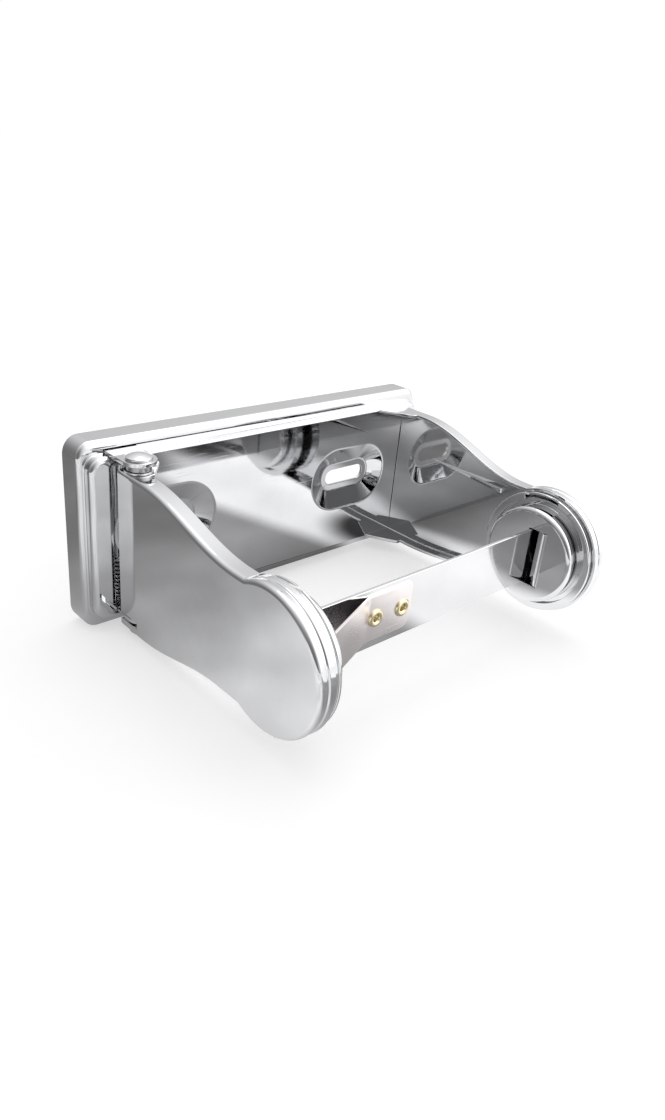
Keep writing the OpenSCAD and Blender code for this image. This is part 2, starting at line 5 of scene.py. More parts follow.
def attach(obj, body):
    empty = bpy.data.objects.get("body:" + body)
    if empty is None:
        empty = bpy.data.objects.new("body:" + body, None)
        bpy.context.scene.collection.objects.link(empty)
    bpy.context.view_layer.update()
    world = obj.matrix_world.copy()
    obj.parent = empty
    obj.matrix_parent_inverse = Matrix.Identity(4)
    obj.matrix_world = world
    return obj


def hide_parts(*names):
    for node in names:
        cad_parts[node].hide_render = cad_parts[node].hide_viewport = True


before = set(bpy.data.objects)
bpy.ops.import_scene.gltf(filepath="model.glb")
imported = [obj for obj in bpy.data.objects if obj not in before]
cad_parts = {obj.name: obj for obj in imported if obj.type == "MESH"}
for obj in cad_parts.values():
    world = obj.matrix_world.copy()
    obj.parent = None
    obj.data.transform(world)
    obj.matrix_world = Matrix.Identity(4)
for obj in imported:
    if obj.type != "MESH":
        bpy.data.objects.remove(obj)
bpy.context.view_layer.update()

# Shared places, in millimetres about the middle of the plate.
# Every piece is drawn there and then brought home to the frame.
places = {
    "plateX": 4.3,            # middle of the plate, seen from midway between the wall slots
    "plateZ": -2.0,
    "panelY": -3.0,
    "borderY": 0.9,
    "wallY": 10.4,
    "armX": 66.2,             # outer face of an arm
    "armTop": 23.3,
    "armLow": -32.4,
    "hubY": -80.4,
    "hubZ": -6.4,
    "discX": 52.6,            # face of a hub towards the roll
    "collarX": 57.6,          # face of a collar towards the roll
    "pinX": -61.3,
    "pinY": -10.4,
    "earTop": 27.5,           # top of the upper ear
    "earLow": -28.9,          # bottom of the lower ear
}
millimetre = 0.001
bevelFrom = math.radians(38)    # edges that turn more than this are rounded
smoothUpTo = math.radians(48)
levelSlack = 0.0005             # how near a vertex lies to a level, and to a ring, to be picked
ringSlack = 0.004


# Hand tools
def letGo():
    if bpy.context.mode != "OBJECT":
        bpy.ops.object.mode_set(mode="OBJECT")
    bpy.ops.object.select_all(action="DESELECT")


def takeUp(piece):
    letGo()
    piece.select_set(True)
    bpy.context.view_layer.objects.active = piece


def joinTo(piece, *others):
    takeUp(piece)
    for other in others:
        other.select_set(True)
    bpy.ops.object.join()


def startPiece(name):
    letGo()
    bpy.ops.mesh.primitive_plane_add(size=2)
    piece = bpy.context.object
    piece.name = piece.data.name = name
    bpy.ops.object.mode_set(mode="EDIT")
    bpy.ops.mesh.select_mode(type="VERT")
    return piece


def pick(kind, test):  # selects the vertices, edges or faces that pass a test, and nothing else
    bpy.ops.mesh.select_mode(type=kind)
    bpy.ops.mesh.select_all(action="DESELECT")
    form = bmesh.from_edit_mesh(bpy.context.edit_object.data)
    for item in {"VERT": form.verts, "EDGE": form.edges, "FACE": form.faces}[kind]:
        if test(item):
            item.select_set(True)
    form.select_flush_mode()
    bmesh.update_edit_mesh(bpy.context.edit_object.data)


def pickAll():
    bpy.ops.mesh.select_all(action="SELECT")


def near(value, goal, slack=0.002):
    return abs(value - goal) < slack


def allNear(edge, axis, goal):  # both ends of an edge lie at one place along an axis
    return all(near(vertex.co[axis], goal) for vertex in edge.verts)


def largestFace(piece):
    return max(bmesh.from_edit_mesh(piece.data).faces, key=lambda face: face.calc_area())


def pull(x, y, z):  # extrudes what is selected
    bpy.ops.mesh.extrude_region_move(TRANSFORM_OT_translate={"value": (x, y, z)})


def drawPath(points):  # one vertex, extruded from point to point
    pickAll()
    bpy.ops.mesh.merge(type="CENTER")
    bpy.ops.transform.translate(value=points[0])
    for here, there in zip(points, points[1:]):
        pull(*(Vector(there) - Vector(here)))


def joinDoubles(gap=0.001):
    pickAll()
    bpy.ops.mesh.remove_doubles(threshold=gap)


def faceOut():
    pickAll()
    bpy.ops.mesh.normals_make_consistent(inside=False)


def flipAll():
    pickAll()
    bpy.ops.mesh.flip_normals()


def applyModifier(piece, kind, **settings):
    takeUp(piece)
    modifier = piece.modifiers.new(kind.lower(), kind)
    for key, value in settings.items():
        setattr(modifier, key, value)
    bpy.ops.object.modifier_apply(modifier=modifier.name)


def thicken(piece, thickness, offset=0):
    applyModifier(piece, "SOLIDIFY", thickness=thickness, offset=offset, use_even_offset=True)


def softenEdges(piece, edge, rounds=3):
    applyModifier(piece, "BEVEL", width=edge, segments=rounds, limit_method="ANGLE",
                  angle_limit=bevelFrom, use_clamp_overlap=False)


def addBlock(low, high, turn=(0, 0, 0)):
    low, high = Vector(low), Vector(high)
    bpy.ops.mesh.primitive_cube_add(size=1, location=(low + high) / 2, rotation=turn,
                                    scale=high - low)


def cutAway(piece, cutter):
    applyModifier(piece, "BOOLEAN", operation="DIFFERENCE", solver="EXACT", object=cutter)
    bpy.data.objects.remove(cutter)


def cutBlock(piece, low, high, turn=(0, 0, 0)):
    letGo()
    addBlock(low, high, turn)
    cutAway(piece, bpy.context.object)


def cutHole(piece, centre, radius, depth, turn=(0, 0, 0)):
    letGo()
    bpy.ops.mesh.primitive_cylinder_add(vertices=64, radius=radius, depth=depth,
                                        location=centre, rotation=turn)
    cutAway(piece, bpy.context.object)


def arcRun(cx, cy, radius, start, end, steps):
    turns = [math.radians(start + (end - start) * i / steps) for i in range(steps + 1)]
    return [(cx + radius * math.cos(a), cy + radius * math.sin(a)) for a in turns]


def easeRun(x0, y0, x1, y1, steps):  # a run that leaves and arrives level
    return [(x0 + (x1 - x0) * i / steps, y0 + (y1 - y0) * (1 - math.cos(math.pi * i / steps)) / 2)
            for i in range(steps + 1)]


def turned(name, profile, centre, axis, steps=144, ring=True):
    # the profile is a run of (radius, place along the axis); a ring closes on its own start
    piece = startPiece(name)
    outward = Vector((0, 0, 1)) if abs(axis[0]) > 0.5 else Vector((1, 0, 0))
    points = [Vector(centre) + outward * radius + Vector(axis) * along for radius, along in profile]
    drawPath(points + points[:1] if ring else points)
    joinDoubles()
    pickAll()
    bpy.ops.mesh.spin(steps=steps, angle=2 * math.pi, center=centre, axis=axis)
    joinDoubles(0.002)
    faceOut()
    letGo()
    return piece


def bringHome(piece, node, body, slot, edge=0.2, rounds=3):
    if edge:
        softenEdges(piece, edge, rounds)
    takeUp(piece)
    bpy.ops.object.shade_smooth_by_angle(angle=smoothUpTo)
    applyModifier(piece, "WEIGHTED_NORMAL", keep_sharp=True, weight=50)
    piece.scale = (millimetre, millimetre, millimetre)
    piece.location = (places["plateX"] * millimetre, 0, 0)
    bpy.ops.object.transform_apply(location=True, rotation=True, scale=True)
    piece.data.materials.clear()
    piece.data.materials.append(finishes[slot])
    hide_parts(node)
    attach(piece, body)
    print("made", node, len(piece.data.polygons), "faces")


# Finishes
class Wire:  # a socket that can be added, taken away, multiplied and so on
    def __init__(self, tree, socket):
        self.tree, self.socket = tree, socket

    def sums(self, operation, first, second):
        node = self.tree.nodes.new("ShaderNodeMath")
        node.operation = operation
        for socket, value in zip(node.inputs, (first, second)):
            if isinstance(value, Wire):
                self.tree.links.new(value.socket, socket)
            else:
                socket.default_value = value
        return Wire(self.tree, node.outputs[0])

    def __add__(self, other):
        return self.sums("ADD", self, other)

    __radd__ = __add__

    def __mul__(self, other):
        return self.sums("MULTIPLY", self, other)

    __rmul__ = __mul__

    def __sub__(self, other):
        return self.sums("SUBTRACT", self, other)

    def __rsub__(self, other):
        return self.sums("SUBTRACT", other, self)

    def __pow__(self, other):
        return self.sums("POWER", self, other)

    def atLeast(self, other):
        return self.sums("MAXIMUM", self, other)

    def atMost(self, other):
        return self.sums("MINIMUM", self, other)


class Bench:  # a node tree with one way to add a node
    def __init__(self, tree):
        self.tree = tree

    def plug(self, socket, value):
        if isinstance(value, Wire):
            self.tree.links.new(value.socket, socket)
        else:
            socket.default_value = value

    def add(self, kind, settings=None, sockets=None, out=0):
        node = self.tree.nodes.new(kind)
        for key, value in (settings or {}).items():
            if key == "stops":
                ends = node.color_ramp.elements
                ends[0].position, ends[1].position = value
            else:
                setattr(node, key, value)
        for key, value in (sockets or {}).items():
            self.plug(node.inputs[key], value)
        return Wire(self.tree, node.outputs[out])

    def mixColours(self, share, first, second):
        return self.add("ShaderNodeMix", {"data_type": "RGBA"},
                        {0: share, 6: first, 7: second}, out=2)

    def noise(self, place, scale, detail, roughness):
        return self.add("ShaderNodeTexNoise", None,
                        {"Vector": place, "Scale": scale, "Detail": detail, "Roughness": roughness})

    def ramp(self, value, stops):
        return self.add("ShaderNodeValToRGB", {"stops": stops}, {"Fac": value})

    def stretched(self, place, scale, turn):
        return self.add("ShaderNodeMapping", {"vector_type": "POINT"},
                        {"Vector": place, "Scale": scale, "Rotation": turn})

    def fade(self, value, low, high, start, end):
        return self.add("ShaderNodeMapRange", {"interpolation_type": "SMOOTHSTEP"},
                        {"Value": value, "From Min": low, "From Max": high,
                         "To Min": start, "To Max": end})

    def rayKinds(self):  # rays that see the backdrop itself, and rays that see it mirrored
        path = self.tree.nodes.new("ShaderNodeLightPath")
        camera, passed, glossy = (Wire(self.tree, path.outputs[name]) for name in (
            "Is Camera Ray", "Is Transmission Ray", "Is Glossy Ray"))
        return (camera + passed).atMost(1.0), glossy


chromeLook = {
    "colour": (0.70, 0.705, 0.715, 1), "dullColour": (0.60, 0.60, 0.61, 1),
    "gloss": 0.035,                                             # roughness of the clean metal
    "haze": 0.035, "grainHaze": 0.015, "hairHaze": 0.06, "wearHaze": 0.08,    # and what marks add
    "smearShare": 0.5, "speckShare": 0.35, "wear": 0.35,        # shares of the dull colour
    "grain": (25, 25, 900), "grainTurn": (0.3, 0.2, 0.4),
    "hairs": (60, 1500, 1500), "hairTurn": (0.9, 0.5, -0.7),
    "swellScale": 22.0, "smearScale": 45.0, "speckScale": 900.0,
    "smearStops": (0.42, 0.78), "grainStops": (0.60, 0.72), "hairStops": (0.68, 0.74),
    "speckStops": (0.70, 0.80), "wearStops": (0.54, 0.70),
    "swell": 0.00007, "scratch": 0.10, "scratchDepth": 0.00002,
}
lengthwise = {"grainTurn": (0, 0, 0)}
looks = {
    "chrome_sheet": ("chromeSheet", {}),
    "plated_bar": ("platedBar", dict(
        lengthwise, colour=(0.71, 0.71, 0.72, 1), dullColour=(0.64, 0.64, 0.65, 1),
        gloss=0.07, haze=0.05, grain=(12, 900, 900), swell=0.00004, scratch=0.15)),
    "passivated_steel": ("passivatedSteel", dict(
        lengthwise, colour=(0.86, 0.81, 0.80, 1), dullColour=(0.74, 0.68, 0.71, 1),
        gloss=0.26, haze=0.12, grain=(18, 700, 700), scratch=0.3)),
    "rivet_brass": ("rivetBrass", dict(
        colour=(0.84, 0.74, 0.50, 1), dullColour=(0.56, 0.46, 0.28, 1),
        gloss=0.16, haze=0.15, smearScale=260.0, swell=0.00002, scratch=0.25)),
    "spring_steel": ("springSteel", dict(
        colour=(0.42, 0.42, 0.43, 1), dullColour=(0.24, 0.23, 0.22, 1),
        gloss=0.22, haze=0.15, smearScale=180.0, swell=0.00002, scratch=0.25)),
}


def metalFinish(name, look):
    material = bpy.data.materials.new(name)
    material.use_nodes = True
    bench = Bench(material.node_tree)
    shader = material.node_tree.nodes["Principled BSDF"]
    place = bench.add("ShaderNodeTexCoord", out="Object")
    along = bench.stretched(place, look["grain"], look["grainTurn"])
    across = bench.stretched(place, look["hairs"], look["hairTurn"])
    swell = bench.noise(place, look["swellScale"], detail=1.0, roughness=0.4)
    smears = bench.noise(place, look["smearScale"], detail=4.0, roughness=0.6)
    smears = bench.ramp(smears, look["smearStops"])
    grain = bench.ramp(bench.noise(along, 1.0, detail=2.0, roughness=0.5), look["grainStops"])
    hairs = bench.ramp(bench.noise(across, 1.0, detail=1.0, roughness=0.4), look["hairStops"])
    specks = bench.noise(place, look["speckScale"], detail=2.0, roughness=0.5)
    specks = bench.ramp(specks, look["speckStops"])
    edges = bench.add("ShaderNodeNewGeometry", out="Pointiness")
    worn = bench.ramp(edges, look["wearStops"])
    dull = smears * look["smearShare"] + specks * look["speckShare"] + worn * look["wear"]
    colour = bench.mixColours(dull.atMost(1.0), look["colour"], look["dullColour"])
    bench.plug(shader.inputs["Base Color"], colour)
    bench.plug(shader.inputs["Roughness"],
               smears * look["haze"] + grain * look["grainHaze"] + hairs * look["hairHaze"]
               + worn * look["wearHaze"] + look["gloss"])
    shader.inputs["Metallic"].default_value = 1.0
    wavy = bench.add("ShaderNodeBump", None,
                     {"Strength": 1.0, "Distance": look["swell"], "Height": swell})
    fine = bench.add("ShaderNodeBump", None,
                     {"Strength": look["scratch"], "Distance": look["scratchDepth"],
                      "Height": grain * 0.5 + hairs, "Normal": wavy})
    bench.plug(shader.inputs["Normal"], fine)
    return material


finishes = {slot: metalFinish(name, dict(chromeLook, **look))
            for slot, (name, look) in looks.items()}
print("finishes ready")

# Back plate
plate = {
    "halfWidth": 76.2, "halfHeight": 32.7, "sheet": 1.0, "edge": 0.22,
    "borderSide": 1.8, "borderEdge": 3.9,       # at the ends, and at the top and bottom
    "stepSide": 2.3, "stepEdge": 1.9, "stepFold": 1.5, "foldRounds": 8, "heelRounds": 4,
    "panelCorner": 5.0, "cornerRounds": 12,
    "rimSide": 1.6, "rimEdge": 3.0, "rimDepth": 1.7, "rimRounds": 8,
    "dishX": (-46.35, 37.75), "dishRun": 13.7, "dishRim": 12.5, "dishFloor": 5.55, "dishDepth": 3.0,
    "dishLip": 3.0, "dishRounds": 6, "dishPoints": 112, "slotRadius": 3.0,
    "slitPlay": 0.15, "slitSide": 0.2, "slitFront": 2, "slitBack": 3, "slitPast": 2.5,
}


def plateLoop(side, edge, y):  # pulls the selected loop to a new size and depth
    form = bmesh.from_edit_mesh(bpy.context.edit_object.data)
    held = [vertex.co for vertex in form.verts if vertex.select]
    wide = max(abs(co.x) for co in held)
    tall = max(abs(co.z - places["plateZ"]) for co in held)
    pull(0, y - held[0].y, 0)
    bpy.ops.transform.resize(
        value=((plate["halfWidth"] - side) / wide, 1, (plate["halfHeight"] - edge) / tall),
        center_override=(0, y, places["plateZ"]))


def drawStep():  # rounded step from the panel down to the border
    step, fold = plate["stepEdge"], plate["stepFold"]
    heel, drop = step - fold, places["borderY"] - places["panelY"]
    run = arcRun(step, drop - fold, fold, 90, 180, plate["foldRounds"])[1:]
    run += arcRun(0, heel, heel, 0, -90, plate["heelRounds"])
    for inward, rise in run:
        plateLoop(plate["borderSide"] + plate["stepSide"] * inward / step,
                  plate["borderEdge"] + inward, places["borderY"] - rise)


def drawRim():  # rounded edge from the border to the outer wall
    for i in range(plate["rimRounds"] + 1):
        a = math.radians(90 * i / plate["rimRounds"])
        off = 1 - math.sin(a)
        plateLoop(plate["rimSide"] * off, plate["rimEdge"] * off,
                  places["borderY"] + plate["rimDepth"] * (1 - math.cos(a)))
    plateLoop(0, 0, places["wallY"])


def pickDishRing(x, radius, y, side=0):  # an oblong ring at one depth, or one half of it
    def onRing(vertex):
        out = vertex.co.x - x
        reach = math.hypot(max(abs(out) - plate["dishRun"] / 2, 0), vertex.co.z)
        return (near(vertex.co.y, y, levelSlack) and out * side >= 0
                and near(reach, radius, ringSlack))
    pick("VERT", onRing)


def dishLoop(x, before, radius, y):  # pulls an oblong ring to a new size, half by half
    form = bmesh.from_edit_mesh(bpy.context.edit_object.data)
    depth = next(vertex.co.y for vertex in form.verts if vertex.select)
    pull(0, y - depth, 0)
    for side in (-1, 1):
        pickDishRing(x, before, y, side)
        bpy.ops.transform.resize(value=(radius / before, 1, radius / before),
                                 center_override=(x + side * plate["dishRun"] / 2, y, 0))
    pickDishRing(x, radius, y)
    return radius


def drawDish(x):  # from the lip down to the edge of the slot
    panelY, depth, rounds = places["panelY"], plate["dishDepth"], plate["dishRounds"]
    slope = math.atan2(depth, plate["dishRim"] - plate["dishFloor"])
    lip = plate["dishLip"] * math.tan(slope / 2)
    first, last = plate["dishRim"] + lip, plate["dishFloor"] - lip
    bpy.ops.mesh.select_all(action="DESELECT")
    bpy.ops.mesh.primitive_circle_add(vertices=plate["dishPoints"], radius=first,
                                      location=(x, panelY, 0), rotation=(math.pi / 2, 0, 0))
    bpy.ops.transform.rotate(value=math.pi / plate["dishPoints"], orient_axis="Y",
                             center_override=(x, panelY, 0))
    for side in (-1, 1):  # parts the circle into two half rounds
        pick("VERT", lambda v: near(v.co.y, panelY, levelSlack) and (v.co.x - x) * side > 0
             and near(math.hypot(v.co.x - x, v.co.z), first, ringSlack))
        bpy.ops.transform.translate(value=(side * plate["dishRun"] / 2, 0, 0))
    pickDishRing(x, first, panelY)
    size = first
    for i in range(1, rounds + 1):
        a = slope * i / rounds
        size = dishLoop(x, size, first - plate["dishLip"] * math.sin(a),
                        panelY + plate["dishLip"] * (1 - math.cos(a)))
    for i in range(rounds, -1, -1):
        a = slope * i / rounds
        size = dishLoop(x, size, last + plate["dishLip"] * math.sin(a),
                        panelY + depth - plate["dishLip"] * (1 - math.cos(a)))
    dishLoop(x, size, plate["slotRadius"], panelY + depth)


def cutPlateSlits(piece):
    front, back = places["panelY"] - plate["slitFront"], places["panelY"] + plate["slitBack"]
    play, side, pinX = plate["slitPlay"], plate["slitSide"], places["pinX"]
    ears = ((places["earTop"] - hinge["ear"], hinge["earRadius"][0]),
            (places["earLow"], hinge["earRadius"][1]))
    for bottom, half in ears:
        cutBlock(piece, (pinX - half - play, front, bottom - play),
                 (pinX + half + play, places["borderY"] + plate["slitPast"],
                  bottom + hinge["ear"] + play))
    inner, outer = arm["footX"]
    low, high = (places["plateZ"] + way * (arm["footHalf"] + play) for way in (-1, 1))
    cutBlock(piece, (inner - side, front, low), (outer + side, back, high))


def makeBackPlate():
    piece = startPiece("backPlate")
    panelY = places["panelY"]
    pickAll()
    bpy.ops.transform.rotate(value=math.pi / 2, orient_axis="X", center_override=(0, 0, 0))
    wide = plate["halfWidth"] - plate["borderSide"] - plate["stepSide"]
    tall = plate["halfHeight"] - plate["borderEdge"] - plate["stepEdge"]
    bpy.ops.transform.resize(value=(wide, 1, tall))
    bpy.ops.transform.translate(value=(0, panelY, places["plateZ"]))
    bpy.ops.mesh.bevel(offset=plate["panelCorner"], segments=plate["cornerRounds"],
                       affect="VERTICES")
    bpy.ops.mesh.delete(type="ONLY_FACE")
    pickAll()
    drawStep()
    drawRim()
    for x in plate["dishX"]:
        drawDish(x)
    pick("EDGE", lambda e: all(near(v.co.y, panelY, levelSlack) for v in e.verts))
    bpy.ops.mesh.fill(use_beauty=True)
    joinDoubles(0.0005)
    faceOut()
    face = largestFace(piece)
    if face.normal.y > 0 and near(face.calc_center_median().y, panelY):
        flipAll()
    letGo()
    thicken(piece, plate["sheet"], offset=-1)
    cutPlateSlits(piece)
    bringHome(piece, "back_plate", "wall_body", "chrome_sheet", edge=plate["edge"])


# Arms
arm = {
    "sheet": 1.2, "fold": 1.6, "foldRounds": 7, "flange": 5.9, "edge": 0.22,
    "endRadius": 22.7, "endSteps": 110,
    "neckUp": 20.4, "neckDown": 20.2, "neckFillet": 2.4, "neckSteps": 8, "sweepSteps": 28,
    "sweepRear": 3, "sweepTop": 3, "sweepLow": 9,              # where the long curves start and end
    "grooveDepth": 0.5, "grooveWidth": 1.6, "grooveX": 63.7, "grooveSteps": 8,
    "grooveStart": 3, "grooveFade": 5, "grooveFades": 5,       # degrees, degrees, and how many
    "tabTip": 9.2, "tabNotch": 1.9, "tabFront": -15.0, "tabGap": 0.3,
    "rightRise": 2.4, "leftRear": -5.6,
    "footX": (65.05, 66.15), "footEnd": 58.8, "footHalf": 19, "footFront": 1.0, "footBack": 2.2,
    "boreMiddle": -4, "boreLength": 80,
    "earCutX": (2, 64.5), "earCutFront": 5.1, "earCutRear": 2, "earCutZ": (0.5, 1.8),
}
ridge = {
    "tip": (-18.0, 9.1), "top": (-59.6, 9.9), "low": (-56.5, 5.9), "tall": 2.2,
    "crestDrop": 0.8, "root": 0.3, "tipRoot": 0.12, "taper": 0.05,
    "crestShare": 14, "crestRounds": 5, "endEdge": 0.5, "endRounds": 4,
}


def armOutline(rise, rear):  # also gives the angles at which the round end starts and stops
    hubY, hubZ, big, small = places["hubY"], places["hubZ"], arm["endRadius"], arm["neckFillet"]
    top, low, front = places["armTop"] + rise, places["armLow"] + rise, arm["tabFront"]
    up, down = hubZ + arm["neckUp"], hubZ - arm["neckDown"]
    topC = (hubY + math.sqrt((big + small) ** 2 - (arm["neckUp"] + small) ** 2), up + small)
    lowC = (hubY + math.sqrt((big + small) ** 2 - (arm["neckDown"] + small) ** 2), down - small)
    topA = math.degrees(math.atan2(topC[1] - hubZ, topC[0] - hubY))
    lowA = math.degrees(math.atan2(lowC[1] - hubZ, lowC[0] - hubY))
    sweep, neck, sweepY = arm["sweepSteps"], arm["neckSteps"], front - arm["sweepRear"]
    path = [(rear, top), (front, top), (front - arm["tabGap"], top)]
    path += easeRun(sweepY, top, topC[0] + arm["sweepTop"], up, sweep)
    path += arcRun(*topC, small, 270, 180 + topA, neck)
    path += arcRun(hubY, hubZ, big, topA, 360 + lowA, arm["endSteps"])[1:-1]
    path += arcRun(*lowC, small, 180 + lowA, 90, neck)
    path += easeRun(lowC[0] + arm["sweepLow"], down, sweepY, low, sweep)
    path += [(front - arm["tabGap"], low), (front, low), (rear, low)]
    return path, topA, 360 + lowA


def pressGroove(start, stop):  # shallow groove round the end, fading out at the neck
    hubY, hubZ = places["hubY"], places["hubZ"]
    steps, fades = arm["grooveSteps"], arm["grooveFades"]
    lines = [arm["grooveX"] - arm["grooveWidth"] * i / steps for i in range(1, steps)]
    for x in lines:
        pickAll()
        bpy.ops.mesh.bisect(plane_co=(x, 0, 0), plane_no=(1, 0, 0))
    for i, x in enumerate(lines, 1):
        deep = arm["grooveDepth"] * (1 - math.cos(2 * math.pi * i / steps)) / 2 / fades
        share = 1 - deep / arm["endRadius"]
        for j in range(fades):
            inset = arm["grooveStart"] + arm["grooveFade"] * j

            def inArc(vertex):
                a = math.degrees(math.atan2(vertex.co.z - hubZ, vertex.co.y - hubY)) % 360
                return near(vertex.co.x, x) and start + inset < a < stop - inset
            pick("VERT", inArc)
            bpy.ops.transform.resize(value=(1, share, share), center_override=(x, hubY, hubZ))


def pressArm(name, rise, rear, side):
    piece = startPiece(name)
    armX, edgeX = places["armX"], places["armX"] - arm["flange"]
    outline, start, stop = armOutline(rise, rear)
    points = [(armX, y, z) for y, z in outline]
    drawPath(points + points[:1])
    joinDoubles()
    pickAll()
    bpy.ops.mesh.edge_face_add()
    pick("EDGE", lambda e: not allNear(e, 1, rear))
    pull(edgeX - armX, 0, 0)
    pick("EDGE", lambda e: allNear(e, 0, armX) and not allNear(e, 1, rear))
    bpy.ops.mesh.bevel(offset=arm["fold"], segments=arm["foldRounds"], affect="EDGES",
                       clamp_overlap=False)
    pressGroove(start, stop)
    pick("EDGE", lambda e: allNear(e, 0, edgeX)
         and all(v.co.y > arm["tabFront"] - 0.01 for v in e.verts))
    pull(-arm["tabNotch"], 0, 0)
    pick("VERT", lambda v: near(v.co.x, edgeX - arm["tabNotch"]) and near(v.co.y, rear))
    bpy.ops.transform.translate(value=(arm["tabNotch"] - arm["tabTip"], 0, 0))
    if side < 0:
        pickAll()
        bpy.ops.transform.resize(value=(-1, 1, 1), center_override=(0, 0, 0))
    faceOut()
    if largestFace(piece).normal.x * side < 0:
        flipAll()
    letGo()
    thicken(piece, arm["sheet"], offset=-1)
    return piece


def makeRidge():  # tapered ridge pressed into the inner face of the right web
    web = places["armX"] - arm["sheet"]
    piece = startPiece("webRidge")
    (topY, topZ), (lowY, lowZ), (tipY, tipZ) = ridge["top"], ridge["low"], ridge["tip"]
    corners = [(web + ridge["root"], topY, topZ),
               (web - ridge["tall"], (topY + lowY) / 2, topZ - ridge["crestDrop"]),
               (web + ridge["root"], lowY, lowZ)]
    drawPath(corners + corners[:1])
    joinDoubles()
    pickAll()
    bpy.ops.mesh.edge_face_add()
    middle = sum((Vector(corner) for corner in corners), Vector()) / 3
    tip = Vector((web + ridge["tipRoot"], tipY, tipZ))
    pull(*(tip - middle))
    bpy.ops.transform.resize(value=(ridge["taper"], 1, ridge["taper"]), center_override=tip)
    halfway = (tipY + topY) / 2
    pick("EDGE", lambda e: min(v.co.x for v in e.verts) < web - ridge["tall"] / 2
         and abs(e.verts[0].co.y - e.verts[1].co.y) > tipY - halfway)  # the crest
    bpy.ops.mesh.bevel(offset_type="PERCENT", offset_pct=ridge["crestShare"],
                       segments=ridge["crestRounds"], affect="EDGES")
    pick("EDGE", lambda e: all(v.co.y < halfway for v in e.verts)
         and min(v.co.x for v in e.verts) < web)  # the front end
    bpy.ops.mesh.bevel(offset=ridge["endEdge"], segments=ridge["endRounds"], affect="EDGES",
                       clamp_overlap=True)
    faceOut()
    letGo()
    return piece


def makeRightArm():
    panelY = places["panelY"]
    piece = pressArm("rightArm", arm["rightRise"], panelY, 1)
    takeUp(piece)
    bpy.ops.object.mode_set(mode="EDIT")
    inner, outer = arm["footX"]
    low, high = places["plateZ"] - arm["footHalf"], places["plateZ"] + arm["footHalf"]
    front, back = arm["footFront"], panelY + arm["footBack"]
    blocks = (((inner, panelY - front, low), (outer, back, high)),
              ((arm["footEnd"], panelY + front, low), (inner, back, high)))
    for start, end in blocks:  # foot that goes through the plate and lies behind it
        bpy.ops.mesh.select_all(action="DESELECT")
        addBlock(start, end)
    letGo()
    softenEdges(piece, arm["edge"])
    joinTo(piece, makeRidge())
    bringHome(piece, "right_arm", "wall_body", "chrome_sheet", edge=0)


def makeLeftArm():
    pinY, earLow = places["pinY"], places["earLow"]
    piece = pressArm("leftArm", 0, arm["leftRear"], -1)
    cutHole(piece, atPin(arm["boreMiddle"]), hinge["pin"] + hinge["play"], arm["boreLength"])
    (past, inner), (below, above) = arm["earCutX"], arm["earCutZ"]
    cutBlock(piece, (-places["armX"] - past, pinY - arm["earCutFront"], earLow - below),
             (-inner, arm["leftRear"] + arm["earCutRear"], earLow + above))
    bringHome(piece, "left_arm", "left_arm_body", "chrome_sheet", edge=arm["edge"])


# Collars and hubs
collar = {
    "brim": 21.9, "brimRounds": 12, "opening": 19.2, "sheet": 1.0, "edge": 0.15,
    "skirt": 21.4, "skirtSheet": 0.8, "skirtEnd": 4.3,
    "notchAngle": 85, "notchWidth": 13.5, "notchDepth": 2.1, "notchPast": 2, "notchSide": 0.3,
}
hub = {
    "radius": 17.5, "rim": 1.6, "rimRounds": (10, 6), "flange": 19.6, "back": 7.3,
    "sheet": 1.0, "edge": 0.15,
    "slotRear": 1.0, "slotFront": 6.2, "slotHalf": 10.5, "slotCut": (2, 3),
    "lipReach": 3.9, "lipEnd": 1.9, "lipGap": 0.3, "lipSheet": 0.6, "lipCorner": 1.0,
    "lipRoll": 0.55, "lipRollAt": (0.35, 0.6), "lipTurn": (180, 302), "lipRounds": 7,
    "play": 0.05, "legAtDisc": 10.35, "legCut": (0.5, 2.0),
}


def makeCollar(node, body, side):
    x0, hubY, hubZ = places["collarX"], places["hubY"], places["hubZ"]
    sheet, skirt, past = collar["sheet"], collar["skirt"], collar["notchPast"]
    inside, roll = skirt - collar["skirtSheet"], sheet / 2
    profile = [(collar["opening"], 0)]
    profile += arcRun(collar["brim"] - roll, roll, roll, -90, 90, collar["brimRounds"])
    profile += [(skirt, sheet), (skirt, collar["skirtEnd"]), (inside, collar["skirtEnd"]),
                (inside, sheet), (collar["opening"], sheet)]
    piece = turned(node.replace("_", "") + "Ring", profile, (side * x0, hubY, hubZ), (side, 0, 0))
    a = math.radians(collar["notchAngle"])
    middle = Vector((side * (x0 + sheet / 2), hubY, hubZ))
    reach = collar["opening"] + (collar["notchDepth"] - past) / 2
    middle += Vector((0, math.cos(a), math.sin(a))) * reach
    half = Vector((sheet / 2 + collar["notchSide"], (collar["notchDepth"] + past) / 2,
                   collar["notchWidth"] / 2))
    cutBlock(piece, middle - half, middle + half, turn=(a, 0, 0))
    bringHome(piece, node, body, "chrome_sheet", edge=collar["edge"])


def hubProfile():
    radius, rim, sheet, back = hub["radius"], hub["rim"], hub["sheet"], hub["back"]
    outer, inner = hub["rimRounds"]
    profile = [(0, 0)] + arcRun(radius - rim, rim, rim, -90, 0, outer)
    profile += [(radius, back - sheet), (hub["flange"], back - sheet), (hub["flange"], back),
                (radius - sheet, back)]
    return profile + arcRun(radius - rim, rim, rim - sheet, 0, -90, inner) + [(0, sheet)]


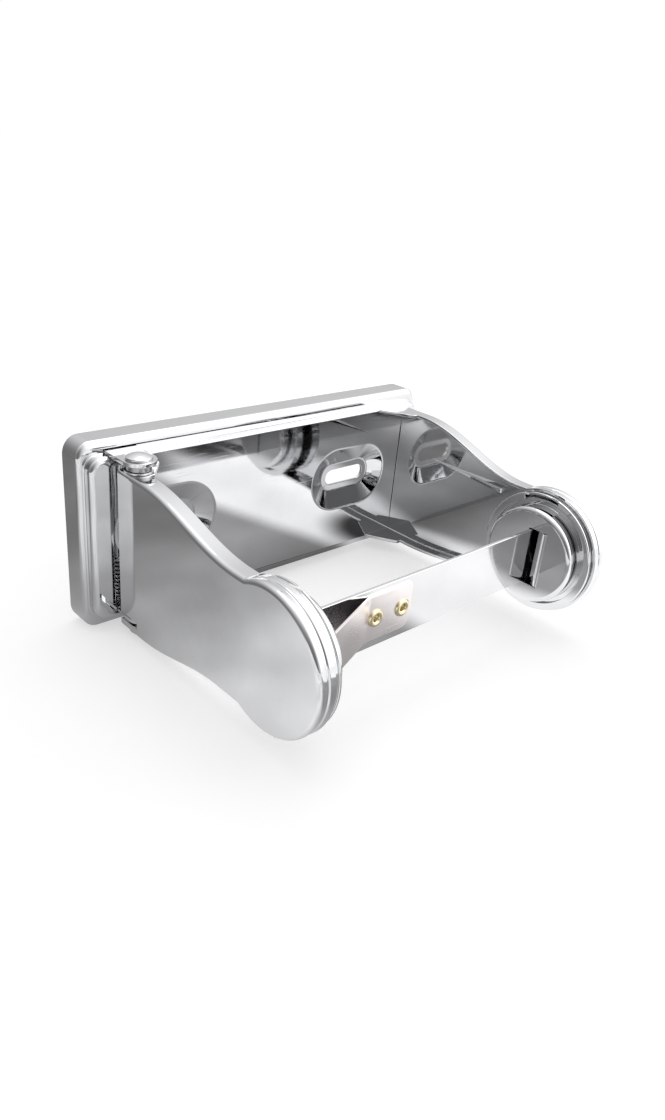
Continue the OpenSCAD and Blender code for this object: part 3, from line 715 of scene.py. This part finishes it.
def makeSlotLip():  # rolls over at the front of the slot, then slopes in beside the bar's end
    x0, front = places["discX"], places["hubY"] - hub["slotFront"]
    tall = hub["slotHalf"] - hub["lipGap"]
    low, reach = places["hubZ"] - tall, front + hub["lipReach"]
    piece = startPiece("slotLip")
    rollY, rollX = hub["lipRollAt"]
    roll = arcRun(front + rollY, x0 + rollX, hub["lipRoll"], *hub["lipTurn"], hub["lipRounds"])
    drawPath([(x, y, low) for y, x in roll] + [(x0 + hub["lipEnd"], reach, low)])
    pickAll()
    pull(0, 0, 2 * tall)
    pick("VERT", lambda v: near(v.co.y, reach))
    bpy.ops.mesh.bevel(offset=hub["lipCorner"], segments=4, affect="VERTICES")
    faceOut()
    letGo()
    thicken(piece, hub["lipSheet"])
    return piece


def makeRightHub():
    x0, hubY, hubZ = places["discX"], places["hubY"], places["hubZ"]
    piece = turned("rightHub", hubProfile(), (x0, hubY, hubZ), (1, 0, 0), ring=False)
    before, past = hub["slotCut"]
    cutBlock(piece, (x0 - before, hubY - hub["slotFront"], hubZ - hub["slotHalf"]),
             (x0 + past, hubY + hub["slotRear"], hubZ + hub["slotHalf"]))
    joinTo(piece, makeSlotLip())
    bringHome(piece, "right_hub", "right_hub_body", "chrome_sheet", edge=hub["edge"])


def makeLeftHub():
    x0, hubY, hubZ, play = places["discX"], places["hubY"], places["hubZ"], hub["play"]
    piece = turned("leftHub", hubProfile(), (-x0, hubY, hubZ), (-1, 0, 0), ring=False)
    before, past = hub["slotCut"]
    thick, tall = bar["thick"] / 2 + play, bar["height"] / 2 + play
    cutBlock(piece, (-x0 - past, hubY - thick, hubZ - tall),
             (-x0 + before, hubY + thick, hubZ + tall))
    legX, legLong = hub["legCut"]
    middle = Vector((-x0 - legX, hubY - bar["thick"] / 2 - hub["legAtDisc"], bracketZ()))
    half = Vector((legLong, bar["bracketSheet"] / 2 + play, bar["bracketHeight"] / 2 + play))
    cutBlock(piece, middle - half, middle + half, turn=(0, 0, math.radians(bar["bracketAngle"])))
    bringHome(piece, "left_hub", "left_hub_body", "chrome_sheet", edge=hub["edge"])


# Bar, bracket and rivets
bar = {
    "height": 20.4, "thick": 1.2, "edge": 0.2, "fold": 0.9, "foldRounds": 5,
    "end": 55.0, "endCorner": 1.2, "foot": -54.2, "footDepth": 5.6,
    "bracketEnd": -9.5, "bracketFold": -28.5, "bracketFar": -55.0, "bracketAngle": 22,
    "bracketHeight": 15.4, "bracketSheet": 0.8, "bracketTop": 8.2,
    "lowCorner": 3.5, "topCorner": 0.8, "bracketEdge": 0.12,
    "rivets": (-13.6, -25.0), "rivetBore": 1.95, "boreLength": 6,
}
rivet = {
    "outer": 3.0, "bore": 1.1, "shank": 1.9, "tail": 2.6,
    "head": 0.75, "headRounds": 14, "edge": 0.08,
}


def bracketZ():
    return places["hubZ"] + bar["bracketTop"] - bar["bracketHeight"] / 2


def foldAt(test):
    pick("EDGE", test)
    bpy.ops.mesh.bevel(offset=bar["fold"], segments=bar["foldRounds"], affect="EDGES")


def boreRivets(piece, y):
    for x in bar["rivets"]:
        cutHole(piece, (x, y, bracketZ()), bar["rivetBore"], bar["boreLength"],
                turn=(math.pi / 2, 0, 0))


def makeBar():
    hubY, low = places["hubY"], places["hubZ"] - bar["height"] / 2
    foot, end = bar["foot"], bar["end"]
    piece = startPiece("spindleBar")
    drawPath([(foot, hubY - bar["footDepth"], low), (foot, hubY, low), (end, hubY, low)])
    pickAll()
    pull(0, 0, bar["height"])
    pick("VERT", lambda v: near(v.co.x, end))
    bpy.ops.mesh.bevel(offset=bar["endCorner"], segments=5, affect="VERTICES")
    foldAt(lambda e: allNear(e, 0, foot) and allNear(e, 1, hubY))
    faceOut()
    letGo()
    thicken(piece, bar["thick"])
    boreRivets(piece, hubY)
    bringHome(piece, "spindle_bar", "left_hub_body", "plated_bar", edge=bar["edge"])


def makeBracket():
    front, mid, half = places["hubY"] - bar["thick"] / 2, bracketZ(), bar["bracketHeight"] / 2
    fold, end = bar["bracketFold"], bar["bracketEnd"]
    back = front - bar["bracketSheet"] / 2
    drop = (fold - bar["bracketFar"]) * math.tan(math.radians(bar["bracketAngle"]))
    piece = startPiece("barBracket")
    drawPath([(end, back, mid - half), (fold, back, mid - half),
              (bar["bracketFar"], back - drop, mid - half)])
    pickAll()
    pull(0, 0, bar["bracketHeight"])
    pick("VERT", lambda v: near(v.co.x, end) and v.co.z < mid)
    bpy.ops.mesh.bevel(offset=bar["lowCorner"], segments=8, affect="VERTICES")
    pick("VERT", lambda v: near(v.co.x, end) and near(v.co.z, mid + half))
    bpy.ops.mesh.bevel(offset=bar["topCorner"], segments=4, affect="VERTICES")
    foldAt(lambda e: allNear(e, 0, fold))
    faceOut()
    letGo()
    thicken(piece, bar["bracketSheet"])
    boreRivets(piece, front)
    bringHome(piece, "bar_bracket", "left_hub_body", "passivated_steel", edge=bar["bracketEdge"])


def makeRivets():
    front = places["hubY"] - bar["thick"] / 2 - bar["bracketSheet"]
    bore, shank, tail, head = rivet["bore"], rivet["shank"], rivet["tail"], rivet["head"]
    middle, half = (rivet["outer"] + bore) / 2, (rivet["outer"] - bore) / 2
    grip, rounds = bar["thick"] + bar["bracketSheet"], rivet["headRounds"]
    turns = [math.pi * i / rounds for i in range(rounds + 1)]
    profile = [(middle - half * math.cos(a), -head * math.sin(a)) for a in turns]
    profile += [(shank, 0), (shank, grip), (tail, grip), (tail, grip + head / 2),
                (shank, grip + head), (bore, grip + head)]
    first = turned("barRivets", profile, (bar["rivets"][0], front, bracketZ()), (0, 1, 0), steps=48)
    takeUp(first)
    bpy.ops.object.duplicate()
    second = bpy.context.object
    bpy.ops.transform.translate(value=(bar["rivets"][1] - bar["rivets"][0], 0, 0))
    bpy.ops.object.transform_apply(location=True, rotation=False, scale=False)
    joinTo(first, second)
    bringHome(first, "bar_rivets", "left_hub_body", "rivet_brass", edge=rivet["edge"], rounds=2)


# Hinge
hinge = {
    "pin": 2.0, "play": 0.08, "ringEdge": 0.12,
    "head": 4.35, "headTall": 1.9, "headEdge": 0.9,
    "headChamfer": (0.15, 0.12), "headFace": (0.35, 0.1),
    "domeEdge": 0.45, "domeLift": 0.05, "domeRounds": 12,
    "tail": 3.1, "tailRound": 0.5, "tailBelow": 1.8, "pinEdge": 0.06,
    "ear": 1.3, "earRadius": (5.6, 4.6), "earRounds": 40, "earRoot": 0.6, "earEdge": 0.16,
    "earBore": 6,
    "stripHalf": 5.6, "stripLow": -32.3, "stripTall": 60.6, "stripCorner": 1.5, "stripGap": 1.0,
    "sleeve": 4.0, "sleeveGaps": (0.8, 0.1), "washer": 4.6, "washerLow": 0.1, "washerHigh": 0.7,
    "wire": 1.0, "wirePoints": 14, "coil": 2.9, "coilSteps": 28, "turns": 10, "pitch": 1.46,
    "coilGap": 0.3, "legs": (5.4, -13.0),
}


def atPin(z):
    return (places["pinX"], places["pinY"], z)


def makePin():
    pin, head, tail, corner = hinge["pin"], hinge["head"], hinge["tail"], hinge["tailRound"]
    (chamfer, inset), (side, face) = hinge["headChamfer"], hinge["headFace"]
    top, rim, dome = places["earTop"], hinge["headEdge"], hinge["head"] - hinge["domeEdge"]
    base, rise = top + rim + hinge["domeLift"], hinge["headTall"] - rim - hinge["domeLift"]
    foot = places["armLow"] - hinge["tailBelow"]
    profile = [(0, foot)] + arcRun(tail - corner, foot + corner, corner, -90, 90, 8)
    profile += [(pin, foot + 2 * corner), (pin, top), (head - chamfer, top), (head, top + chamfer),
                (head, top + rim - side), (head - inset, top + rim - face)]
    for i in range(hinge["domeRounds"] + 1):  # domed top
        u = 1 - i / hinge["domeRounds"]
        profile.append((dome * u, base + rise * (1 - u * u)))
    piece = turned("hingePin", profile, atPin(0), (0, 0, 1), steps=72, ring=False)
    bringHome(piece, "hinge_pin", "wall_body", "chrome_sheet", edge=hinge["pinEdge"], rounds=2)


def makeRing(name, node, outer, low, high, slot):
    bore = hinge["pin"] + hinge["play"]
    profile = [(bore, low), (outer, low), (outer, high), (bore, high)]
    piece = turned(name, profile, atPin(0), (0, 0, 1), steps=64)
    bringHome(piece, node, "wall_body", slot, edge=hinge["ringEdge"])


def makeSpring():
    coil, wire, pitch = hinge["coil"], hinge["wire"] / 2, hinge["pitch"]
    low = places["earLow"] + hinge["ear"] + hinge["coilGap"] + wire
    high = low + pitch * hinge["turns"]
    piece = startPiece("hingeSpring")
    pickAll()
    bpy.ops.mesh.delete(type="VERT")
    bpy.ops.mesh.primitive_circle_add(vertices=hinge["wirePoints"], radius=wire,
                                      location=(-coil, 0, low), rotation=(math.pi / 2, 0, 0))
    letGo()
    applyModifier(piece, "SCREW", axis="Z", angle=2 * math.pi, screw_offset=pitch,
                  iterations=hinge["turns"], steps=hinge["coilSteps"],
                  render_steps=hinge["coilSteps"], use_merge_vertices=False)
    takeUp(piece)
    bpy.ops.object.mode_set(mode="EDIT")
    for z, reach in zip((low, high), hinge["legs"]):  # to the panel, and along the arm
        pick("EDGE", lambda e: e.is_boundary and all(
            near(v.co.y, 0, 0.01) and abs(v.co.z - z) < wire * 1.1 for v in e.verts))
        pull(0, reach, 0)
        bpy.ops.mesh.edge_face_add()
    joinDoubles()
    faceOut()
    pickAll()
    bpy.ops.transform.translate(value=atPin(0))
    letGo()
    bringHome(piece, "hinge_spring", "left_arm_body", "spring_steel", edge=0)


def makeEar(z, radius, back):
    pinX, pinY, thick = places["pinX"], places["pinY"], hinge["ear"]
    ear = startPiece("ear")
    rear = back + hinge["earRoot"]
    start, end = (pinX - radius, rear, z), (pinX + radius, rear, z)
    arc = [(x, y, z) for x, y in arcRun(pinX, pinY, radius, 180, 360, hinge["earRounds"])]
    drawPath([start] + arc + [end, start])
    joinDoubles()
    pickAll()
    bpy.ops.mesh.edge_face_add()
    pull(0, 0, thick)
    faceOut()
    letGo()
    cutHole(ear, atPin(z + thick / 2), hinge["pin"] + hinge["play"], hinge["earBore"])
    return ear


def makeHingeBracket():
    back, thick = places["borderY"] + hinge["stripGap"], hinge["ear"]
    left, right = (places["pinX"] + way * hinge["stripHalf"] for way in (-1, 1))
    piece = startPiece("hingeBracket")
    drawPath([(left, back, hinge["stripLow"]), (right, back, hinge["stripLow"])])
    pickAll()
    pull(0, 0, hinge["stripTall"])
    pick("VERT", lambda v: True)
    bpy.ops.mesh.bevel(offset=hinge["stripCorner"], segments=5, affect="VERTICES")
    pickAll()
    pull(0, thick, 0)
    faceOut()
    letGo()
    levels = (places["earTop"] - thick, places["earLow"])
    ears = [makeEar(z, radius, back) for z, radius in zip(levels, hinge["earRadius"])]
    joinTo(piece, *ears)
    bringHome(piece, "hinge_bracket", "wall_body", "chrome_sheet", edge=hinge["earEdge"])


makeBackPlate()
makeRightArm()
makeLeftArm()
makeCollar("right_collar", "wall_body", 1)
makeCollar("left_collar", "left_arm_body", -1)
makeRightHub()
makeLeftHub()
makeBar()
makeBracket()
makeRivets()
makePin()
makeRing("hingeSleeve", "hinge_sleeve", hinge["sleeve"],
         places["armTop"] + hinge["sleeveGaps"][0],
         places["earTop"] - hinge["ear"] - hinge["sleeveGaps"][1], "spring_steel")
makeRing("upperWasher", "hinge_washer_upper", hinge["washer"],
         places["armTop"] + hinge["washerLow"],
         places["armTop"] + hinge["washerHigh"], "chrome_sheet")
makeSpring()
makeHingeBracket()
hidden = {  # nodes deep inside, which keep the CAD shape
    "right_brake_washer": "spring_steel", "left_brake_washer": "spring_steel",
    "hinge_washer_lower": "spring_steel", "pin_tail_washer": "chrome_sheet",
}
for nodeName, slotName in hidden.items():
    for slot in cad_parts[nodeName].material_slots:
        slot.material = finishes[slotName]
print("hidden nodes finished")

# Studio
studio = {
    "floorZ": -0.0350, "floorSize": 12, "floorColour": 0.60, "floorGlow": 0.50,
    "farFade": (0.12, 0.5, 0.0, 0.3),       # more glow far away: two distances, two amounts
    "worldLevel": 0.72,
    # painted light and shade on the floor, seen only as the bright metal mirrors it: a painted
    # highlight at the right front, painted shade below the part and the right arm, darker towards
    # the left rear; two places in metres, and the tone at each
    "rightHighlightFade": (0.018, 0.034, 0.0, 0.86), "rightHighlightSlant": (0.08, 0.3),
    "leftFade": (-0.080, -0.030, 1.0, 0.0), "rearFade": (-0.09, 0.08, 0.60, 0.0),
    "underShadeFade": (-0.05, 0.0, 0.44, 0.22),
    "shadeAt": (0.0743, -0.015, 0), "shadeFade": (0.012, 0.030, 0.05, 1.0),   # painted shade spot on the floor below the right arm
    "mottleScale": 16.0, "mottleStops": (0.30, 0.70), "mottleRange": (0.75, 0.5),
    "mirroredGlow": 0.75, "mirroredMatt": 0.3,
    # the room as the bright metal mirrors it: direction, sharpness, strength
    "room": 0.50, "roomLeast": 0.04,
    "lobes": (((0, 0, 1), 2.0, 0.85),                  # soft light overhead
              ((0.62, -0.65, 0.42), 3.0, 1.6),         # bright window at the right front
              ((0.6, 0.64, 0.44), 2.0, 0.18),          # a little light at the right rear
              ((-0.63, -0.64, 0.44), 4.0, -0.40),      # dark room behind the camera
              ((-0.70, 0.70, 0.10), 2.0, -0.30)),      # greyer at the left rear
    # lights: place, size in metres, power in watts
    "lights": {"keyLight": ((0.2, 0.1, 1.2), 1.0, 3.0), "fillLight": ((0.9, -0.7, 0.9), 0.8, 1.0)},
}
view = {
    "focalPixels": 841.4, "photoPixels": 1120, "sensor": 36,
    "turn": -44.84, "tilt": 26.27, "roll": 5.55,        # degrees
    "stand": (-0.18329, -0.2250, 0.11846),
}
white = (1, 1, 1, 1)


def paintedMirrorLight(bench):  # painted light and shade on the floor for mirrored rays: a painted highlight at the right, painted shade below the part and below the right arm, darker towards the left rear
    place = bench.add("ShaderNodeTexCoord", out="Object")
    across, depth = (bench.add("ShaderNodeSeparateXYZ", None, {"Vector": place}, out=axis)
                     for axis in "XY")
    slantFrom, slant = studio["rightHighlightSlant"]
    # painted highlight: the floor is lighter at the right front, seen in the mirrored metal
    right = bench.fade(across - (depth + slantFrom).atLeast(0.0) * slant, *studio["rightHighlightFade"])
    left = bench.fade(across, *studio["leftFade"]) * bench.fade(depth, *studio["rearFade"])
    # painted shade: the floor tone halves towards and behind the plate, below the part
    under = bench.fade(depth, *studio["underShadeFade"])
    gap = bench.add("ShaderNodeVectorMath", {"operation": "DISTANCE"},
                    {0: place, 1: studio["shadeAt"]}, out="Value")
    # painted shade: a dark spot on the floor below the right arm, seen in the mirrored metal
    shade = bench.fade(gap, *studio["shadeFade"])
    least, spread = studio["mottleRange"]
    mottle = bench.noise(place, studio["mottleScale"], detail=2.0, roughness=0.5)
    mottle = bench.ramp(mottle, studio["mottleStops"])
    return place, (right + (left + under) * (mottle * spread + least)) * shade


def makeFloor():
    letGo()
    bpy.ops.mesh.primitive_plane_add(size=studio["floorSize"], location=(0, 0, studio["floorZ"]))
    floor = bpy.context.object
    floor.name = "studioFloor"
    material = bpy.data.materials.new("studioFloor")
    material.use_nodes = True
    tree = material.node_tree
    tree.nodes.remove(tree.nodes["Principled BSDF"])
    bench = Bench(tree)
    seen, glossy = bench.rayKinds()
    place, tone = paintedMirrorLight(bench)
    away = bench.add("ShaderNodeVectorMath", {"operation": "LENGTH"}, {0: place}, out="Value")
    far = bench.fade(away, *studio["farFade"])
    plain = bench.add("ShaderNodeBsdfDiffuse", None, {"Color": (studio["floorColour"],) * 3 + (1,)})
    glow = bench.add("ShaderNodeEmission", None,
                     {"Color": white, "Strength": seen * (far + studio["floorGlow"])})
    paper = bench.add("ShaderNodeAddShader", None, {0: plain, 1: glow})
    # for mirrored rays the floor shows the painted light and shade: a dimly lit part plus a painted
    # glow
    dull = tone * studio["mirroredMatt"]
    grey = bench.add("ShaderNodeCombineColor", None, {0: dull, 1: dull, 2: dull})
    matt = bench.add("ShaderNodeBsdfDiffuse", None, {"Color": grey})
    paintedGlow = bench.add("ShaderNodeEmission", None,
                     {"Color": white, "Strength": tone * studio["mirroredGlow"]})
    mirrored = bench.add("ShaderNodeAddShader", None, {0: matt, 1: paintedGlow})
    bench.plug(tree.nodes["Material Output"].inputs["Surface"],
               bench.add("ShaderNodeMixShader", None, {0: glossy, 1: paper, 2: mirrored}))
    floor.data.materials.append(material)


def makeWorld():  # white where it is seen, a soft room where it is mirrored, even light elsewhere
    world = bpy.data.worlds.new("studioWorld")
    bpy.context.scene.world = world
    world.use_nodes = True
    tree = world.node_tree
    bench = Bench(tree)
    seen, glossy = bench.rayKinds()
    toward = bench.add("ShaderNodeTexCoord", out="Generated")
    level = studio["room"]
    for direction, sharpness, amount in studio["lobes"]:
        facing = bench.add("ShaderNodeVectorMath", {"operation": "DOT_PRODUCT"},
                           {0: toward, 1: Vector(direction).normalized()}, out="Value")
        level = level + (facing.atLeast(0.0) ** sharpness) * amount
    level = level.atLeast(studio["roomLeast"])
    background = tree.nodes["Background"]
    background.inputs["Color"].default_value = white
    bench.plug(background.inputs["Strength"],
               seen + (1.0 - seen) * (glossy * level + (1.0 - glossy) * studio["worldLevel"]))


def makeLight(name, place, size, power):
    light = bpy.data.lights.new(name, "AREA")
    light.shape, light.size, light.energy = "DISK", size, power
    lamp = bpy.data.objects.new(name, light)
    bpy.context.scene.collection.objects.link(lamp)
    place = Vector(place)
    aim = place.to_track_quat("Z", "Y").to_matrix().to_4x4()  # at the middle of the part
    lamp.matrix_world = Matrix.Translation(place) @ aim


def makeCamera():  # stands at the front left, above the part, turned a little about its own axis
    camera = bpy.data.cameras.new("camera")
    holder = bpy.data.objects.new("camera", camera)
    bpy.context.scene.collection.objects.link(holder)
    camera.sensor_width = view["sensor"]
    camera.lens = view["focalPixels"] / view["photoPixels"] * view["sensor"]
    turn, tilt, roll = (math.radians(view[key]) for key in ("turn", "tilt", "roll"))
    flat = math.cos(tilt)
    back = Vector((math.sin(turn) * flat, -math.cos(turn) * flat, math.sin(tilt)))
    level = (-back).cross(Vector((0, 0, 1))).normalized()
    upright = level.cross(-back)
    right = math.cos(roll) * level + math.sin(roll) * upright
    up = -math.sin(roll) * level + math.cos(roll) * upright
    sides = Matrix((right, up, back)).transposed().to_4x4()
    holder.matrix_world = Matrix.Translation(view["stand"]) @ sides
    bpy.context.scene.camera = holder


makeFloor()
makeWorld()
for lightName, (lightPlace, lightSize, lightPower) in studio["lights"].items():
    makeLight(lightName, lightPlace, lightSize, lightPower)
makeCamera()
bpy.context.scene.view_settings.view_transform = "Standard"
print("studio ready")
